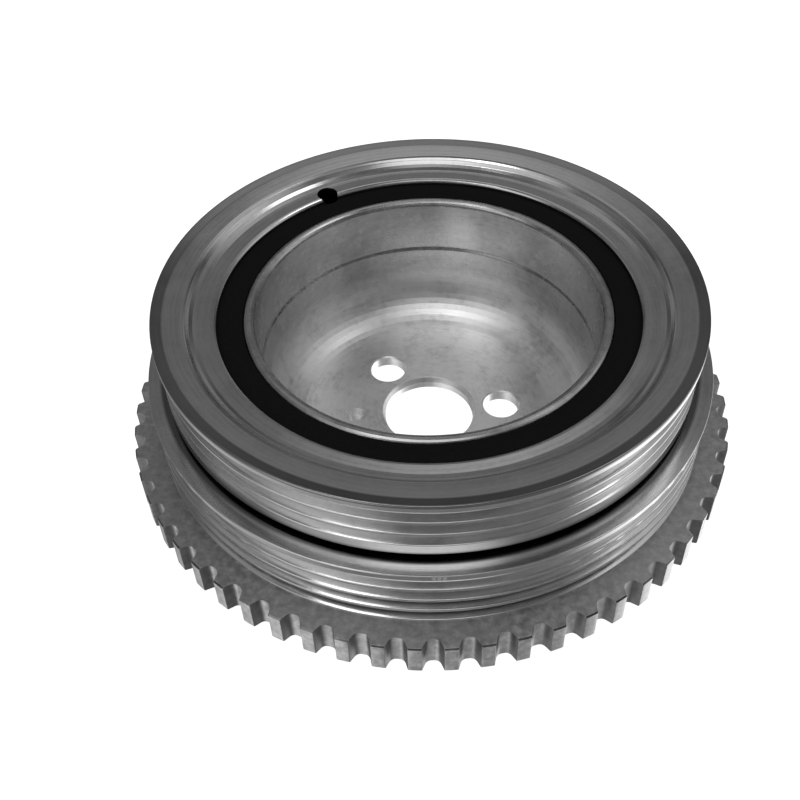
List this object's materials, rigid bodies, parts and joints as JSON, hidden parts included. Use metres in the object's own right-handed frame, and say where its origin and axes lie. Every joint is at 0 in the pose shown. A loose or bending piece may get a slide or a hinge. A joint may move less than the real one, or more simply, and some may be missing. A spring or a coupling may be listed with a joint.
{
  "type": "harmonic balancer",
  "caption": "Crankshaft harmonic balancer: a deep hub cup with a toothed sensor ring and grooved belt pulley below, and a rubber-bonded grooved damper ring above.",
  "frame": {"origin": "centre of the hub's back face, on the turning axis", "axes": "+Z along the turning axis, from the crankshaft's end outwards; -Y is towards the picture's camera"},
  "size_m": [0.144, 0.144, 0.0422],
  "materials": {
    "hub_steel": "drawn and lightly stained steel",
    "pulley_iron": "turned, satin",
    "damper_iron": "turned, satin",
    "rubber": "dull black"
  },
  "bodies": {
    "root": {"hub_cup": "hub_steel", "toothed_pulley": "pulley_iron", "damper_ring": "damper_iron", "rubber_ring": "rubber"}
  },
  "joints": []
}
